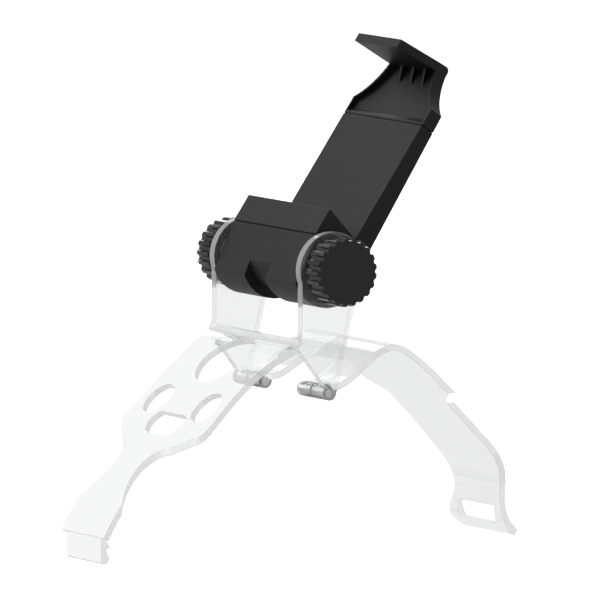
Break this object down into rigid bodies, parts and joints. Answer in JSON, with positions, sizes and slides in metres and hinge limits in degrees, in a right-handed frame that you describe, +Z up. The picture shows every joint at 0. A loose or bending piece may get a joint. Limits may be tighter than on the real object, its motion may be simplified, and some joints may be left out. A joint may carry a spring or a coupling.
{
  "type": "controller phone clip",
  "caption": "Clear clip that wraps the middle of a game controller and carries a black sprung phone clamp between two knobs.",
  "frame": {"origin": "on the surface that the opened clip stands on, under the middle of its box", "axes": "+X along the knob axis, +Y from the front arm to the rear arm, +Z up"},
  "size_m": [0.0654, 0.1282, 0.137],
  "materials": {
    "clear_plastic": "clear, polished",
    "black_plastic": "fine satin",
    "steel": "plated",
    "brass": "turned"
  },
  "bodies": {
    "bracket": {"front_bracket": "clear_plastic", "hinge_pin_left": "steel", "hinge_pin_right": "steel"},
    "rear_arm": {"rear_arm": "clear_plastic"},
    "clamp": {"lower_jaw": "black_plastic", "rear_cover": "black_plastic", "stop_pin": "steel", "spring_posts": "steel", "cover_screws": "steel", "clamp_bolt": "steel", "jaw_spring_left": "steel", "jaw_spring_right": "steel"},
    "upper_jaw": {"upper_jaw": "black_plastic", "jaw_posts": "steel"},
    "knob_left": {"knob_left": "black_plastic", "knob_insert_left": "brass", "washer_left": "steel"},
    "knob_right": {"knob_right": "black_plastic", "knob_insert_right": "brass", "washer_right": "steel"}
  },
  "joints": [
    {"name": "rear_arm_hinge", "type": "hinge", "parent": "bracket", "child": "rear_arm", "pos_m": [0, -0.00145, 0.044], "axis": [1, 0, 0], "range_deg": [-108, 0]},
    {"name": "clamp_tilt", "type": "hinge", "parent": "bracket", "child": "clamp", "pos_m": [0, -0.00075, 0.0773], "axis": [1, 0, 0], "range_deg": [-55, 100]},
    {"name": "jaw_slide", "type": "slide", "parent": "clamp", "child": "upper_jaw", "axis": [0, 0.5736, 0.8192], "range_m": [0, 0.03], "stiffness_N_per_m": 120, "springref_m": -0.02},
    {"name": "knob_left_turn", "type": "hinge", "parent": "clamp", "child": "knob_left", "pos_m": [0, -0.00075, 0.0773], "axis": [1, 0, 0], "continuous": true},
    {"name": "knob_right_turn", "type": "hinge", "parent": "clamp", "child": "knob_right", "pos_m": [0, -0.00075, 0.0773], "axis": [1, 0, 0], "continuous": true}
  ]
}
